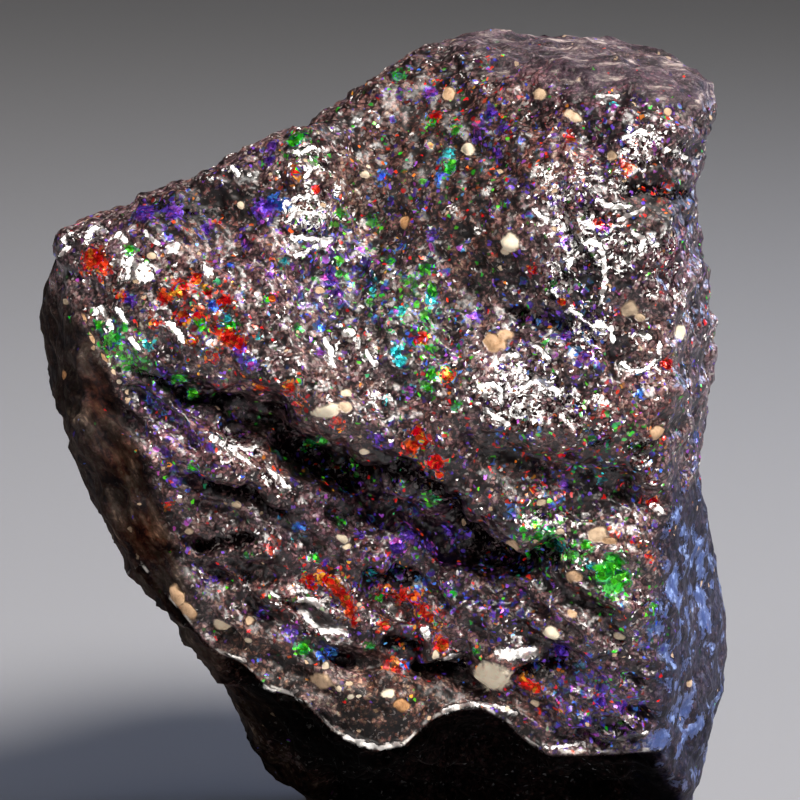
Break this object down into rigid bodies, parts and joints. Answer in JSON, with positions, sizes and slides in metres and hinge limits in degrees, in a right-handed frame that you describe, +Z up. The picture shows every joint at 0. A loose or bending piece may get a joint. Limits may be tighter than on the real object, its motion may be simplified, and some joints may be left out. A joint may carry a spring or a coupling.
{
  "type": "rough matrix opal",
  "caption": "Rough broken lump of dark matrix opal with a heavy front brow, stepped ledges and a small flat foot to stand on.",
  "frame": {"origin": "middle of the bounding box's bottom face, on the surface that the stone stands on", "axes": "+Z up, -Y towards the ledged front that carries the most opal, +X to the right seen from the front"},
  "size_m": [0.04, 0.0328, 0.047],
  "materials": {
    "opal_matrix": "glassy broken rock, dark grey-brown, with pinpoint opal colour and pale grains"
  },
  "bodies": {
    "root": {"opal_stone": "opal_matrix"}
  },
  "joints": []
}
